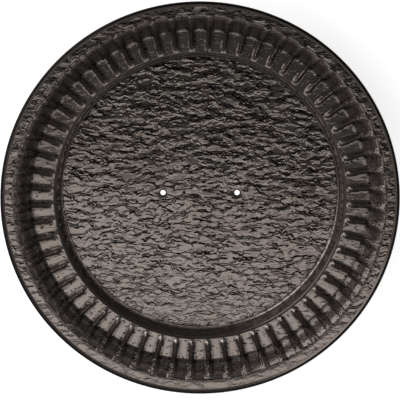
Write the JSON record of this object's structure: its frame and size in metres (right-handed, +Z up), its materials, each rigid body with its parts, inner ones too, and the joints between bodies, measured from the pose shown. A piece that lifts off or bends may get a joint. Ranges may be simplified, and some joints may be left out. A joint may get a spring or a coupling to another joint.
{
  "type": "fluted metal dish",
  "caption": "Round pressed steel dish with a flat floor, plain step, fluted sloping wall, flat flange and wired edge, with fixing holes in its floor.",
  "frame": {"origin": "centre of the floor's underside, where the dish rests", "axes": "+Z up out of the dish along its axis, X through the two fixing holes"},
  "size_m": [0.4063, 0.4064, 0.0427],
  "materials": {
    "hammered_coat": "gloss hammered dark bronze coat",
    "edge_wire": "drawn steel wire, galvanised"
  },
  "bodies": {
    "root": {"dish_pan": "hammered_coat", "rim_wire": "edge_wire"}
  },
  "joints": []
}
